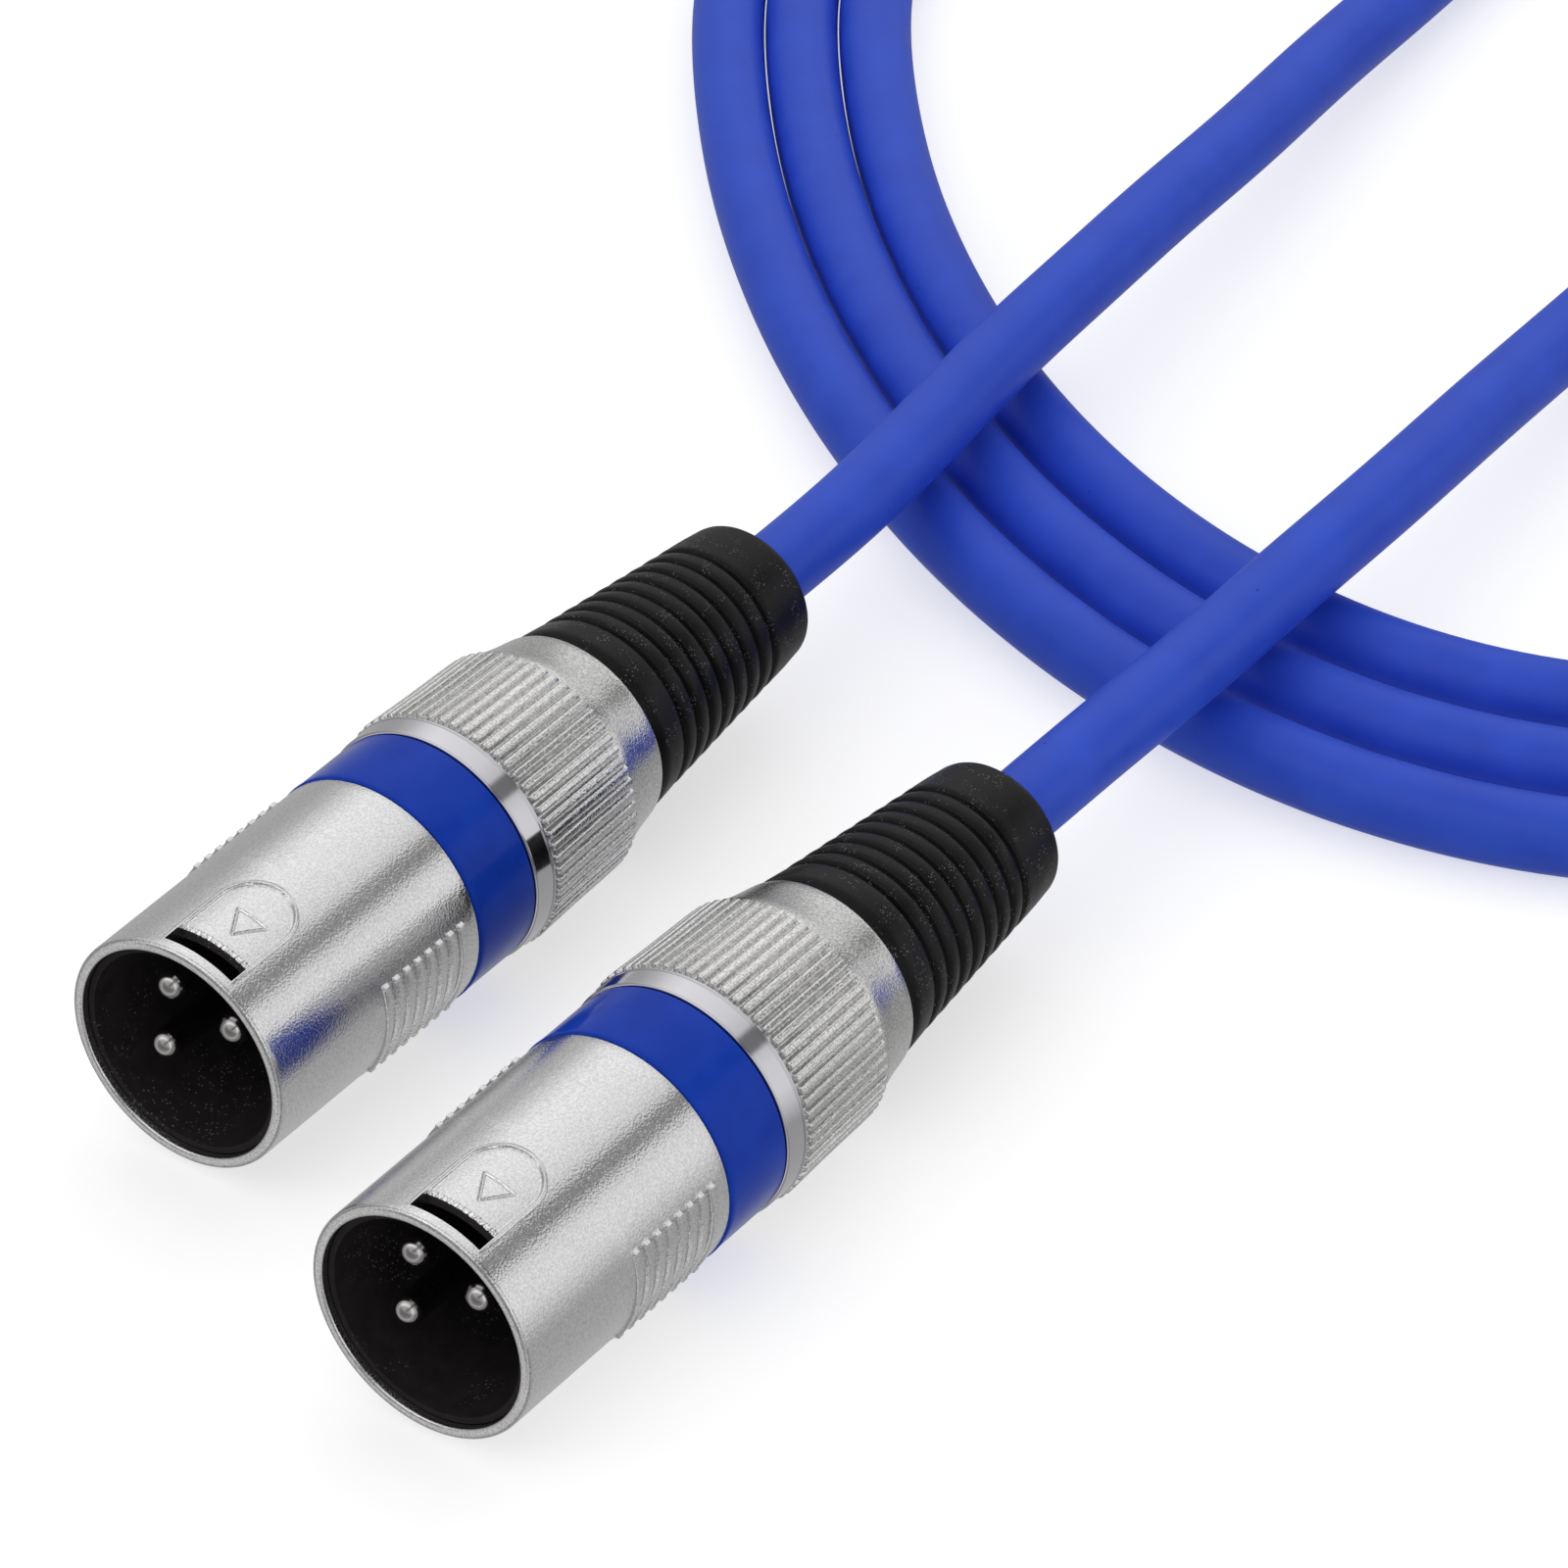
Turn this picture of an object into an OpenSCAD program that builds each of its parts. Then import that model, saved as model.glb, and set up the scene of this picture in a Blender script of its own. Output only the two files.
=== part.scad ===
// Microphone lead with a male three-pin XLR plug on each end, wound in three turns.
// Millimetres, +Z up. The plugs lie along X with their mouths towards -X, and the
// origin is the middle of the two plugs' box, on the surface they lie on.

/* [Plug shell] */
// Outside radius of the barrel at the mouth
barrel_r = 9.5; // [9.3:0.05:9.7]
// Length of the barrel, from the mouth to the coding ring
barrel_len = 23.1; // [22.5:0.1:24.5]
// Wall thickness of the barrel at the mouth
barrel_wall = 0.9; // [0.8:0.05:1.0]
// Depth of the socket, from the mouth to the insert's floor
socket_depth = 15; // [14:0.5:16]
// Turn of the latch window from straight up
latch_roll = 10.5; // [0:0.5:30]

/* [Latch window] */
// Distance of the window's front edge from the mouth
window_front = 0.95; // [0.8:0.05:1.2]
// Length of the window along the barrel
window_len = 1.95; // [1.6:0.05:2.2]
// Width of the window and of the thumb pad behind it
window_width = 6.1; // [5.5:0.1:6.6]
// Distance of the pad's rear end from the mouth
pad_end = 10.2; // [9:0.1:11]
// Depth of the pad below the barrel
pad_depth = 0.15; // [0.1:0.05:0.15]

/* [Grip ribs] */
// Number of raised grip ribs on each side
rib_count = 8; // [4:1:8]
// Distance from one rib to the next
rib_pitch = 1.25; // [1.1:0.05:1.3]
// Distance of the first rib from the mouth
rib_first = 12.1; // [12:0.1:12.6]
// Arc of one rib, in degrees
rib_arc = 54; // [30:2:60]

/* [Contacts] */
// Radius of a contact pin
contact_r = 1.2; // [1.15:0.05:1.25]
// Distance of the pin tips behind the mouth
contact_tip = 1.8; // [1.6:0.1:2.6]
// Radius of the circle that pins 1 and 2 stand on
contact_circle_r = 3.84; // [3.8:0.02:3.9]
// Distance of pin 3 from the axis
contact_3_r = 4.3; // [3.84:0.02:4.4]

/* [Coding ring] */
// Outside radius of the coding ring
ring_r = 9.6; // [9.5:0.05:9.7]
// Width of the coding ring
ring_len = 6.5; // [6:0.1:7.2]

/* [Back nut] */
// Outside radius over the knurl
knurl_r = 10; // [9.9:0.05:10]
// Number of knurl teeth
knurl_teeth = 60; // [48:2:72]
// Depth of the grooves between the teeth
knurl_depth = 0.4; // [0.3:0.05:0.5]
// Length of the polished collar before the knurl
collar_len = 2.2; // [1.8:0.1:2.4]
// Length of the knurl
knurl_len = 10.1; // [9.6:0.1:11]
// Length of the tapered rear of the nut
cone_len = 4.9; // [4.8:0.1:5.4]
// Radius at the nut's rear edge
cone_end_r = 8.35; // [8.2:0.05:8.6]

/* [Boot] */
// Whole length of the plug, from the mouth to the boot's end
plug_len = 69; // [68:0.5:72]
// Radius of the boot where it leaves the nut
boot_r = 8.1; // [7.9:0.05:8.2]
// Radius of the boot at its end
boot_end_r = 5.95; // [5.6:0.05:6.2]
// Number of bending grooves
groove_count = 8; // [5:1:8]

/* [Cable] */
// Diameter of the cable
cable_d = 6; // [5.6:0.1:6]

/* [Hidden] */
$fn = 96;
eps = 0.02;           // how far a cutter runs past the face it cuts
gap = 0.05;           // clearance between parts that are pushed together

// The plugs' places: [mouth x, axis y], staggered and side by side
axis_z = knurl_r;     // the knurls rest on the surface
plug_a = [-28, 16];
plug_b = [-41, -16];

// Stations along a plug, measured from its mouth
ring_start = barrel_len + gap;
ring_end = ring_start + ring_len;
nut_start = ring_end + 0.1;
knurl_start = nut_start + collar_len;
knurl_end = knurl_start + knurl_len;
nut_end = knurl_end + cone_len;
boot_start = nut_end + 0.1;
spigot_end = 38;      // rear end of the shell's thread
step_at = 20;         // where the shell's bore steps down
boss_end = 25;        // rear face of the insert
clamp_start = 31.5;
clamp_end = 41.8;
flange_start = 42;    // front of the boot, inside the nut

// Radii inside a plug
socket_r = barrel_r - barrel_wall;
rear_bore_r = 7;
seat_r = 8.9;         // shell under the coding ring
thread_r = 8.3;       // crest of the shell's thread
nut_thread_r = 8.38;
nut_chamber_r = 7.7;
nut_mouth_r = 6.5;    // opening that the boot's neck passes through
cup_wall = 0.5;
cable_r = cable_d / 2;
boot_bore_r = cable_r + 0.15;
contact_body_r = 1.45; // the contact where it is held in the insert
solder_cup_r = 1.4;
solder_cup_end = 31;

// Angles around a plug, from the latch window: [angle, distance from the axis]
contact_places = [[45, contact_circle_r], [-135, contact_circle_r], [-45, contact_3_r]];

// The cable's route, from plug A to the coil and from plug B to the coil
LEAD_A = [
    [41, 16, 10], [54, 16.2, 10], [66, 17.2, 10], [78, 18.5, 10], [91, 19.6, 9.6],
    [104, 21, 8.6], [118, 22.5, 7.2], [132, 24.5, 5.6], [146, 26, 4.2], [160, 27, 3.6],
    [174, 26.5, 4.6], [187, 23.5, 6.8], [198, 17, 8.8], [206, 7.5, 9.3], [211.5, -4, 9.3],
    [214, -16.5, 9.2], [213, -29, 8.5], [207.5, -40.5, 6.4], [198.5, -50, 4.2]
];
LEAD_B = [
    [28, -16, 10], [41, -16.1, 10], [53, -16.3, 10], [66, -16.2, 10], [80, -16, 9.7],
    [94, -15, 8.6], [108, -13.8, 7], [122, -12.6, 5.4], [136, -11.6, 4], [150, -11, 3.2],
    [163, -10.5, 3], [176, -10, 3], [189, -7.5, 3], [200.5, 0, 3], [208, 11, 3],
    [211, 24, 3], [209, 36.5, 3]
];
// Where the leads run into the turns: lead A into the outer one, lead B into the inner
coil_in = -105;
coil_out = -2;

// The coil: three turns side by side on the surface, an oval with a long near half
coil_centre = [154.5, 10.5];
coil_angle = 36;      // direction of the oval's long axis
coil_near = 102.5;    // half lengths of the middle turn, towards the plugs,
coil_far = 67;        // away from them
coil_half = 67.2;     // and across
turn_pitch = 6.1;     // from turn to turn, at the sides and the far end
near_pitch = 8.5;     // from turn to turn, at the near end
coil_step = 5;        // degrees between the outline's points

// Puts a shape drawn along +Z, with the latch window towards +Y, on a plug's axis
module on_plug(place) {
    translate([place[0], place[1], axis_z])
        rotate([latch_roll, 0, 0]) rotate([90, 0, 90]) children();
}

// Turns a shape from +Y to an angle around the plug, towards plug B's side
module around(angle) {
    rotate([0, 0, angle]) children();
}

module tube(r_out, r_in, z0, z1) {
    translate([0, 0, z0]) difference() {
        cylinder(r = r_out, h = z1 - z0);
        translate([0, 0, -eps]) cylinder(r = r_in, h = z1 - z0 + 2 * eps);
    }
}

module rod(r, z0, z1) {
    translate([0, 0, z0]) cylinder(r = r, h = z1 - z0);
}

// Barrel with a rounded lip, seat for the coding ring and threaded spigot
module shell_body() {
    lip = 0.35;
    step = 0.05;      // the barrel behind the smooth front is a hair thicker
    step_end = rib_first - 0.1;
    rotate_extrude() polygon([
        [socket_r, lip], [socket_r + lip / 2, 0], [barrel_r - lip, 0], [barrel_r, lip],
        [barrel_r, step_end - 0.6], [barrel_r + step, step_end],
        [barrel_r + step, barrel_len], [seat_r, barrel_len], [seat_r, nut_start - gap],
        [thread_r, nut_start - gap], [thread_r, spigot_end - 0.5],
        [thread_r - 0.5, spigot_end], [rear_bore_r, spigot_end],
        [rear_bore_r, step_at], [socket_r, step_at]
    ]);
}

// Flat-fronted, round-ended outline of the thumb pad, seen from above the window
module pad_outline() {
    r = window_width / 2;
    translate([-r, window_front + window_len - eps])
        square([window_width, pad_end - r - window_front - window_len + eps]);
    translate([0, pad_end - r]) circle(r = r);
}

// Everything that is cut from the barrel for the latch
module latch_cut() {
    translate([-window_width / 2, 0, window_front])
        cube([window_width, barrel_r + 1, window_len]);
    intersection() {
        rotate([90, 0, 0]) mirror([0, 0, 1]) linear_extrude(barrel_r + 1) pad_outline();
        tube(barrel_r + 1, barrel_r - pad_depth, 0, pad_end + 1);
    }
}

module grip_ribs() {
    rib_w = 0.7;
    rib_h = 0.16;
    for (side = [0, 180], i = [0 : rib_count - 1])
        rotate([0, 0, side - rib_arc / 2])
            rotate_extrude(angle = rib_arc)
                translate([barrel_r - 0.2, rib_first + i * rib_pitch])
                    square([rib_h + 0.2, rib_w]);
}

module plug_shell(place) {
    color([0.78, 0.78, 0.79]) on_plug(place) {
        difference() {
            shell_body();
            latch_cut();
        }
        grip_ribs();
    }
}

// Black liner and floor of the socket, with the three contact holes
module plug_insert(place) {
    cup_r = socket_r - gap;
    front = 0.7;
    key_w = window_width + 0.4;
    color([0.06, 0.06, 0.07]) on_plug(place) difference() {
        union() {
            rod(cup_r, front, step_at - gap);
            rod(rear_bore_r - 0.1, step_at - 0.5, boss_end);
        }
        rod(cup_r - cup_wall, front - eps, socket_depth);
        translate([-key_w / 2, 0, 0]) cube([key_w, barrel_r, window_front + window_len + 0.3]);
        for (c = contact_places)
            around(c[0]) translate([0, c[1], 0]) rod(contact_body_r + gap, 1, boss_end + 1);
    }
}

// Domed pin, the body that the insert holds, and solder cup, in one turned piece
module plug_contact(place, i) {
    c = contact_places[i];
    pin_end = socket_depth - 0.4;
    shoulder_len = 0.6;
    color([0.72, 0.71, 0.69]) on_plug(place) around(c[0]) translate([0, c[1], 0]) {
        difference() {
            rotate_extrude() polygon([
                [0, contact_tip + contact_r], [contact_r, contact_tip + contact_r],
                [contact_r, pin_end], [contact_body_r, pin_end + shoulder_len],
                [contact_body_r, boss_end], [solder_cup_r, boss_end],
                [solder_cup_r, solder_cup_end], [0, solder_cup_end]
            ]);
            rod(0.95, solder_cup_end - 3.5, solder_cup_end + eps);
            translate([-2, -2, solder_cup_end - 3]) cube([4, 2, 4]);
        }
        translate([0, 0, contact_tip + contact_r]) intersection() {
            sphere(r = contact_r);
            translate([-2, -2, -2]) cube([4, 4, 2 + eps]);
        }
    }
}

// Spring strip that joins the shell to the earth contact
module plug_ground_tab(place) {
    tab_w = 2.4;
    tab_t = 0.3;
    color([0.8, 0.72, 0.5]) on_plug(place) around(135) {
        translate([-tab_w / 2, 0.6, boss_end + gap]) cube([tab_w, 6.2, tab_t]);
        translate([-tab_w / 2, 6.5, boss_end + gap]) cube([tab_w, tab_t, 3.5]);
    }
}

// The three cores, from the solder cups back to the jacket's cut end
module plug_wires(place) {
    core_r = 0.8;
    spread = 1.15;
    cup_floor = solder_cup_end - 2.9;
    for (c = contact_places)
        color([0.75, 0.45, 0.3]) on_plug(place) around(c[0]) hull() {
            translate([0, c[1] - 0.1, cup_floor]) cylinder(r = 0.6, h = 0.4, $fn = 24);
            translate([0, spread, 33.95]) cylinder(r = core_r, h = 0.05, $fn = 24);
        }
}

// Slotted collet that grips the cable inside the shell and the nut
module plug_cable_clamp(place) {
    slots = 4;
    color([0.15, 0.15, 0.16]) on_plug(place) difference() {
        rotate_extrude() polygon([
            [cable_r + gap, clamp_start], [rear_bore_r - 0.1, clamp_start],
            [rear_bore_r - 0.1, spigot_end], [6, clamp_end], [cable_r + gap, clamp_end]
        ]);
        for (i = [0 : slots - 1])
            rotate([0, 0, 45 + i * 360 / slots])
                translate([-0.4, cable_r - 0.5, 35]) cube([0.8, 6, 8]);
        rod(cable_r + 0.8, clamp_start - eps, 33.9);
    }
}

// Cable inside the plug, from its cut end to the boot's end
module plug_jacket(place) {
    color([0.2, 0.31, 0.75]) on_plug(place) rod(cable_r, 34, plug_len);
}

module plug_coding_ring(place) {
    bevel = 0.15;
    color([0.1, 0.24, 0.66]) on_plug(place) rotate_extrude() polygon([
        [seat_r + gap, ring_start], [ring_r - bevel, ring_start], [ring_r, ring_start + bevel],
        [ring_r, ring_end - bevel], [ring_r - bevel, ring_end], [seat_r + gap, ring_end]
    ]);
}

// One flat-topped tooth per step, with a narrow groove after it
module knurl_outline() {
    root_r = knurl_r - knurl_depth;
    pitch = 360 / knurl_teeth;
    polygon([
        for (i = [0 : knurl_teeth - 1], p = [[0.14, knurl_r], [0.86, knurl_r], [1, root_r]])
            [p[1] * cos((i + p[0]) * pitch), p[1] * sin((i + p[0]) * pitch)]
    ]);
}

module plug_back_nut(place) {
    collar_r = 9.75;
    core_r = knurl_r - knurl_depth - 0.1;
    color([0.74, 0.74, 0.76]) on_plug(place) difference() {
        union() {
            rotate_extrude() polygon([
                [0, nut_start], [collar_r - 0.15, nut_start], [collar_r, nut_start + 0.15],
                [collar_r, knurl_start], [core_r, knurl_start],
                [core_r, knurl_end], [9.3, knurl_end + 0.7], [8.85, knurl_end + 2.2],
                [8.55, knurl_end + 3.7], [cone_end_r, nut_end - 0.2],
                [cone_end_r - 0.2, nut_end], [0, nut_end]
            ]);
            translate([0, 0, knurl_start - 0.1]) linear_extrude(knurl_len + 0.1)
                knurl_outline();
        }
        rod(nut_thread_r, nut_start - 1, 39);
        rod(nut_chamber_r, 38.9, 46);
        rod(nut_mouth_r, 45.9, nut_end + 1);
    }
}

// Rubber boot: flange and neck inside the nut, grooved taper and plain end outside
module plug_boot(place) {
    first_groove = 50.4;
    groove_pitch = 1.84;
    groove_w = 0.7;
    groove_d = 0.55;
    taper = function (z) boot_r - (boot_r - 6.15) * (z - boot_start) / (66.5 - boot_start);
    outside = [
        for (i = [0 : groove_count - 1])
            let (z = first_groove + i * groove_pitch)
                each [
                    [taper(z), z], [taper(z) - groove_d, z + 0.15],
                    [taper(z) - groove_d, z + groove_w - 0.15], [taper(z + groove_w), z + groove_w]
                ]
    ];
    color([0.1, 0.1, 0.11]) on_plug(place) rotate_extrude() polygon(concat(
        [[boot_bore_r, flange_start], [7.4, flange_start], [7.4, 45.9],
         [nut_mouth_r - 0.1, 45.9], [nut_mouth_r - 0.1, boot_start],
         [boot_r - 0.6, boot_start], [boot_r, boot_start + 1]],
        outside,
        [[6.15, 66.5], [boot_end_r, plug_len - 0.7], [boot_end_r - 0.7, plug_len],
         [boot_bore_r, plug_len]]
    ));
}

// The point of one turn's centre line; turn is -1, 0 or 1, from inside to outside
function turn_point(turn, angle, edge = 0) =
    let (
        near = cos(angle) < 0,
        along = (near ? coil_near + turn * near_pitch : coil_far + turn * turn_pitch) + edge,
        across = coil_half + turn * turn_pitch + edge,
        x = along * cos(angle),
        y = across * sin(angle)
    ) [
        coil_centre[0] + x * cos(coil_angle) - y * sin(coil_angle),
        coil_centre[1] + x * sin(coil_angle) + y * cos(coil_angle)
    ];

// The same point, at the height of the cable's centre
function coil_point(turn, angle) = concat(turn_point(turn, angle), [cable_r]);

// Solid of the three turns: the band that they fill, as high as the cable
module cable_coil() {
    color([0.2, 0.31, 0.75]) linear_extrude(cable_d) difference() {
        polygon([for (a = [0 : coil_step : 355]) turn_point(1, a, cable_r)]);
        polygon([for (a = [0 : coil_step : 355]) turn_point(-1, a, -cable_r)]);
    }
}

function unit(v) = v / norm(v);

// The direction of a route at one of its points
function heading(path, i) =
    unit(path[min(i + 1, len(path) - 1)] - path[max(i - 1, 0)]);

// Tube with one ring of points round each point of its route
module swept(path, r, sides = 12) {
    rings = len(path);
    points = [
        for (i = [0 : rings - 1])
            let (
                ahead = i == 0 ? [1, 0, 0] : heading(path, i),
                side = unit(cross([0, 0, 1], ahead)),
                up = cross(ahead, side)
            )
                for (k = [0 : sides - 1])
                    path[i] + r * (side * cos(k * 360 / sides) + up * sin(k * 360 / sides))
    ];
    faces = concat(
        [[for (k = [0 : sides - 1]) k]],
        [for (i = [0 : rings - 2], k = [0 : sides - 1])
            let (a = i * sides + k, b = i * sides + (k + 1) % sides)
                [b, a, a + sides, b + sides]],
        [[for (k = [sides - 1 : -1 : 0]) (rings - 1) * sides + k]]
    );
    polyhedron(points, faces, convexity = 8);
}

module cable_lead_a() {
    color([0.2, 0.31, 0.75]) swept(concat(LEAD_A, [coil_point(1, coil_in)]), cable_r);
}

module cable_lead_b() {
    color([0.2, 0.31, 0.75]) swept(concat(LEAD_B, [coil_point(-1, coil_out)]), cable_r);
}

plug_shell(plug_a);  // plug_a_shell
plug_insert(plug_a);  // plug_a_insert
plug_contact(plug_a, 0);  // plug_a_contact_1
plug_contact(plug_a, 1);  // plug_a_contact_2
plug_contact(plug_a, 2);  // plug_a_contact_3
plug_ground_tab(plug_a);  // plug_a_ground_tab
plug_wires(plug_a);  // plug_a_wires
plug_cable_clamp(plug_a);  // plug_a_cable_clamp
plug_jacket(plug_a);  // plug_a_jacket
plug_coding_ring(plug_a);  // plug_a_coding_ring
plug_back_nut(plug_a);  // plug_a_back_nut
plug_boot(plug_a);  // plug_a_boot
plug_shell(plug_b);  // plug_b_shell
plug_insert(plug_b);  // plug_b_insert
plug_contact(plug_b, 0);  // plug_b_contact_1
plug_contact(plug_b, 1);  // plug_b_contact_2
plug_contact(plug_b, 2);  // plug_b_contact_3
plug_ground_tab(plug_b);  // plug_b_ground_tab
plug_wires(plug_b);  // plug_b_wires
plug_cable_clamp(plug_b);  // plug_b_cable_clamp
plug_jacket(plug_b);  // plug_b_jacket
plug_coding_ring(plug_b);  // plug_b_coding_ring
plug_back_nut(plug_b);  // plug_b_back_nut
plug_boot(plug_b);  // plug_b_boot
cable_lead_a();
cable_lead_b();
cable_coil();
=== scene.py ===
"""Looks of the coiled microphone lead: two XLR plugs and one long blue cable.

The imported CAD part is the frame. Lengths are in millimetres up to the moment a mesh is
made, and in metres after that. A plug is drawn in its own frame: z runs from the mouth
to the cable, and an angle of 0 faces the latch window, 90 the camera's side.
"""
import math

import bmesh
import bpy
import numpy as np
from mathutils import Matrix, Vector


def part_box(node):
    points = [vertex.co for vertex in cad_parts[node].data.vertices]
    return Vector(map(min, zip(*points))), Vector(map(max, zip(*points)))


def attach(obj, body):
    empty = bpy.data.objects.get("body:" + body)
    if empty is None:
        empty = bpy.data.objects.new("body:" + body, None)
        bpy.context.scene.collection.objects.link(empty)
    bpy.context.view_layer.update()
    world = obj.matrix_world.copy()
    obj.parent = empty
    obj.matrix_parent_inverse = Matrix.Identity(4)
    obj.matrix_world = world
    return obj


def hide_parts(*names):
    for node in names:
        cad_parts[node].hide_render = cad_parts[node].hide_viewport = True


MM = 0.001
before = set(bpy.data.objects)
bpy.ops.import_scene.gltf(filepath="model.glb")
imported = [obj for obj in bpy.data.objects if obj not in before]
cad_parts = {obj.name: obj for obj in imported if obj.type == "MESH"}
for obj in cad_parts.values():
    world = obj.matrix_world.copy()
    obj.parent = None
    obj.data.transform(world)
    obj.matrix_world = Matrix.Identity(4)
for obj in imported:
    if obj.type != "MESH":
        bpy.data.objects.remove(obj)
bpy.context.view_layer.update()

# Plugs: the mouth's x and the axis' y, as the CAD boxes give them
AXIS_Z = 10.0
LATCH_ROLL = 10.5
PLUGS = {}
for side in "ab":
    lo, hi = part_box(f"plug_{side}_back_nut")
    shell_lo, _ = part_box(f"plug_{side}_shell")
    PLUGS[side] = (round(shell_lo.x / MM, 3), round((lo.y + hi.y) / 2 / MM, 3))
PLUG_LEN = 69.0

# Shell: the barrel, a hair wider behind its step, then the ring's seat and the spigot
BARREL_R = 9.5
BARREL_STEP = 0.05
BARREL_STEP_START, BARREL_STEP_END = 11.4, 12.0
BARREL_LEN = 23.1
LIP = 0.35
MOUTH_EDGE = 0.2
REAR_EDGE = 0.15
SOCKET_R, SOCKET_END = 8.6, 20.0
REAR_BORE_R = 7.0
SEAT_R = 8.9
THREAD_R, THREAD_DEPTH, THREAD_PITCH, THREAD_START = 8.3, 0.4, 1.0, 29.7
SPIGOT_END, SPIGOT_CHAMFER = 38.0, 0.5

# Latch window, with the sloping edge behind it, which is uneven in two sets of waves
WINDOW_FRONT, WINDOW_REAR, WINDOW_HALF = 0.95, 2.9, 3.05
SLOPE_LENGTH, SLOPE_DEPTH = 0.32, 0.3
WAVE_HEIGHT, WAVES_PER_TURN = 0.05, (90.0, 217.0)

# Thumb pad behind the window, the bead round it and the arrow in it
PAD_END, PAD_DEPTH, PAD_EDGE = 10.2, 0.18, 0.14
BEAD_HEIGHT, BEAD_WIDTH, BEAD_AT = 0.09, 0.1, 0.08
ARROW = [(0.3, 4.4), (-1.1, 6.8), (1.75, 6.7)]
ARROW_DEPTH, ARROW_WIDTH = 0.13, 0.1

# Grip ribs: strips round each side of the barrel, which end in knobs. Arcs are in degrees,
# and a knob's rise is a share of the rib's height
RIB_FIRST, RIB_PITCH, RIB_COUNT = 12.1, 1.25, 8
RIB_WIDTH, RIB_HEIGHT, RIB_HALF_ARC = 0.7, 0.16, 27.0
RIB_GAP_DEPTH = 0.08
KNOB_RISE, KNOB_ARC, RIB_END_ARC = 0.7, 0.9, 1.2

# Coding ring
RING_START, RING_END, RING_R = 23.15, 29.65, 9.6

# Back nut: a collar, the knurl and a cone, whose outlines are (z, r)
NUT_START, KNURL_START, KNURL_END, NUT_END = 29.75, 31.95, 42.05, 46.95
COLLAR_R, CABLE_HOLE_R, FLANGE_STOP = 9.75, 6.5, 45.9
NUT_BORE_R, NUT_THREAD_R, NUT_THREAD_END = 7.7, 8.38, 39.0
KNURL_TEETH = 60
KNURL_TOP = [(32.3, 10.0), (36.2, 9.84), (40.5, 9.74), (KNURL_END, 9.68)]
KNURL_ROOT = [(KNURL_START, 9.5), (KNURL_END, 9.38)]
NUT_CONE = [(42.6, 9.3), (43.3, 9.08), (44.1, 8.87), (44.9, 8.69), (45.6, 8.55), (46.2, 8.45)]

# Boot: a flange inside the nut, then a taper with grooves
FLANGE_START, FLANGE_R, NECK_R, BOOT_BORE_R = 42.0, 7.4, 6.4, 3.15
BOOT_START, BOOT_R, TAPER_END, TAPER_END_R = 47.05, 8.1, 66.5, 6.15
GROOVE_FIRST, GROOVE_PITCH, GROOVE_COUNT = 50.4, 1.84, 8

# Contacts: angle around the plug and distance from its axis
CONTACTS = [(45, 3.84), (-135, 3.84), (-45, 4.3)]

# Cable: the routes of the two leads, from each plug to the coil
CABLE_R = 3.0
RING_SPACING = 1.5
LEAD_A = [
    (41, 16, 10), (54, 16.2, 10), (66, 17.2, 10), (78, 18.5, 10), (91, 19.6, 9.6),
    (104, 21, 8.6), (118, 22.5, 7.2), (132, 24.5, 5.6), (146, 26, 4.2), (160, 27, 3.6),
    (174, 26.5, 4.6), (187, 23.5, 6.8), (198, 17, 8.8), (206, 7.5, 9.3), (211.5, -4, 9.3),
    (214, -16.5, 9.2), (213, -29, 8.5), (207.5, -40.5, 6.4), (198.5, -50, 4.2),
]
LEAD_B = [
    (28, -16, 10), (41, -16.1, 10), (53, -16.3, 10), (66, -16.2, 10), (80, -16, 9.7),
    (94, -15, 8.6), (108, -13.8, 7), (122, -12.6, 5.4), (136, -11.6, 4), (150, -11, 3.2),
    (163, -10.5, 3), (176, -10, 3), (189, -7.5, 3), (200.5, 0, 3), (208, 11, 3),
    (211, 24, 3), (209, 36.5, 3),
]

# Coil: an oval of three turns side by side, wider apart at the end near the plugs
COIL_CENTRE = (154.5, 10.5)
COIL_ANGLE = 36.0
COIL_NEAR, COIL_FAR, COIL_HALF = 102.5, 67.0, 67.2
NEAR_PITCH, TURN_PITCH = 8.5, 6.1
COIL_IN, COIL_OUT, COIL_TURNS = -105.0, -2.0, 3
SHIFT_END = -77.0
COIL_STEP = 9.0

# Camera, in metres and degrees
CAMERA_AZIMUTH, CAMERA_ELEVATION = 36.08, 37.46
CAMERA_TARGET, CAMERA_DISTANCE = (0.03368, 0.00741, 0.0), 0.75
SENSOR, LENS = 36.0, 228.6

# Edges that turn by more degrees than this are sharp
SHARP_TURN, CAD_SHARP_TURN = 42, 35

# Most of a noise texture's values lie in the first span; grain has a narrower one, for
# more contrast
NOISE_SPAN, GRAIN_SPAN = (0.3, 0.7), (0.32, 0.68)


# ---------------------------------------------------------------- camera

def make_camera():
    azimuth, elevation = math.radians(CAMERA_AZIMUTH), math.radians(CAMERA_ELEVATION)
    look = Vector((
        math.cos(azimuth) * math.cos(elevation),
        math.sin(azimuth) * math.cos(elevation),
        -math.sin(elevation),
    ))
    data = bpy.data.cameras.new("camera")
    data.sensor_width = SENSOR
    data.lens = LENS
    data.clip_start, data.clip_end = 0.01, 20.0
    camera = bpy.data.objects.new("camera", data)
    camera.location = Vector(CAMERA_TARGET) - look * CAMERA_DISTANCE
    camera.rotation_euler = look.to_track_quat("-Z", "Y").to_euler()
    bpy.context.scene.collection.objects.link(camera)
    bpy.context.scene.camera = camera


# ---------------------------------------------------------------- meshes

def smooth_step(x):
    x = np.clip(x, 0.0, 1.0)
    return x * x * (3.0 - 2.0 * x)


def ridge(x, width):
    """1 where x is 0, fading to nothing over a few widths."""
    return np.exp(-(x / width) ** 2)


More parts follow.
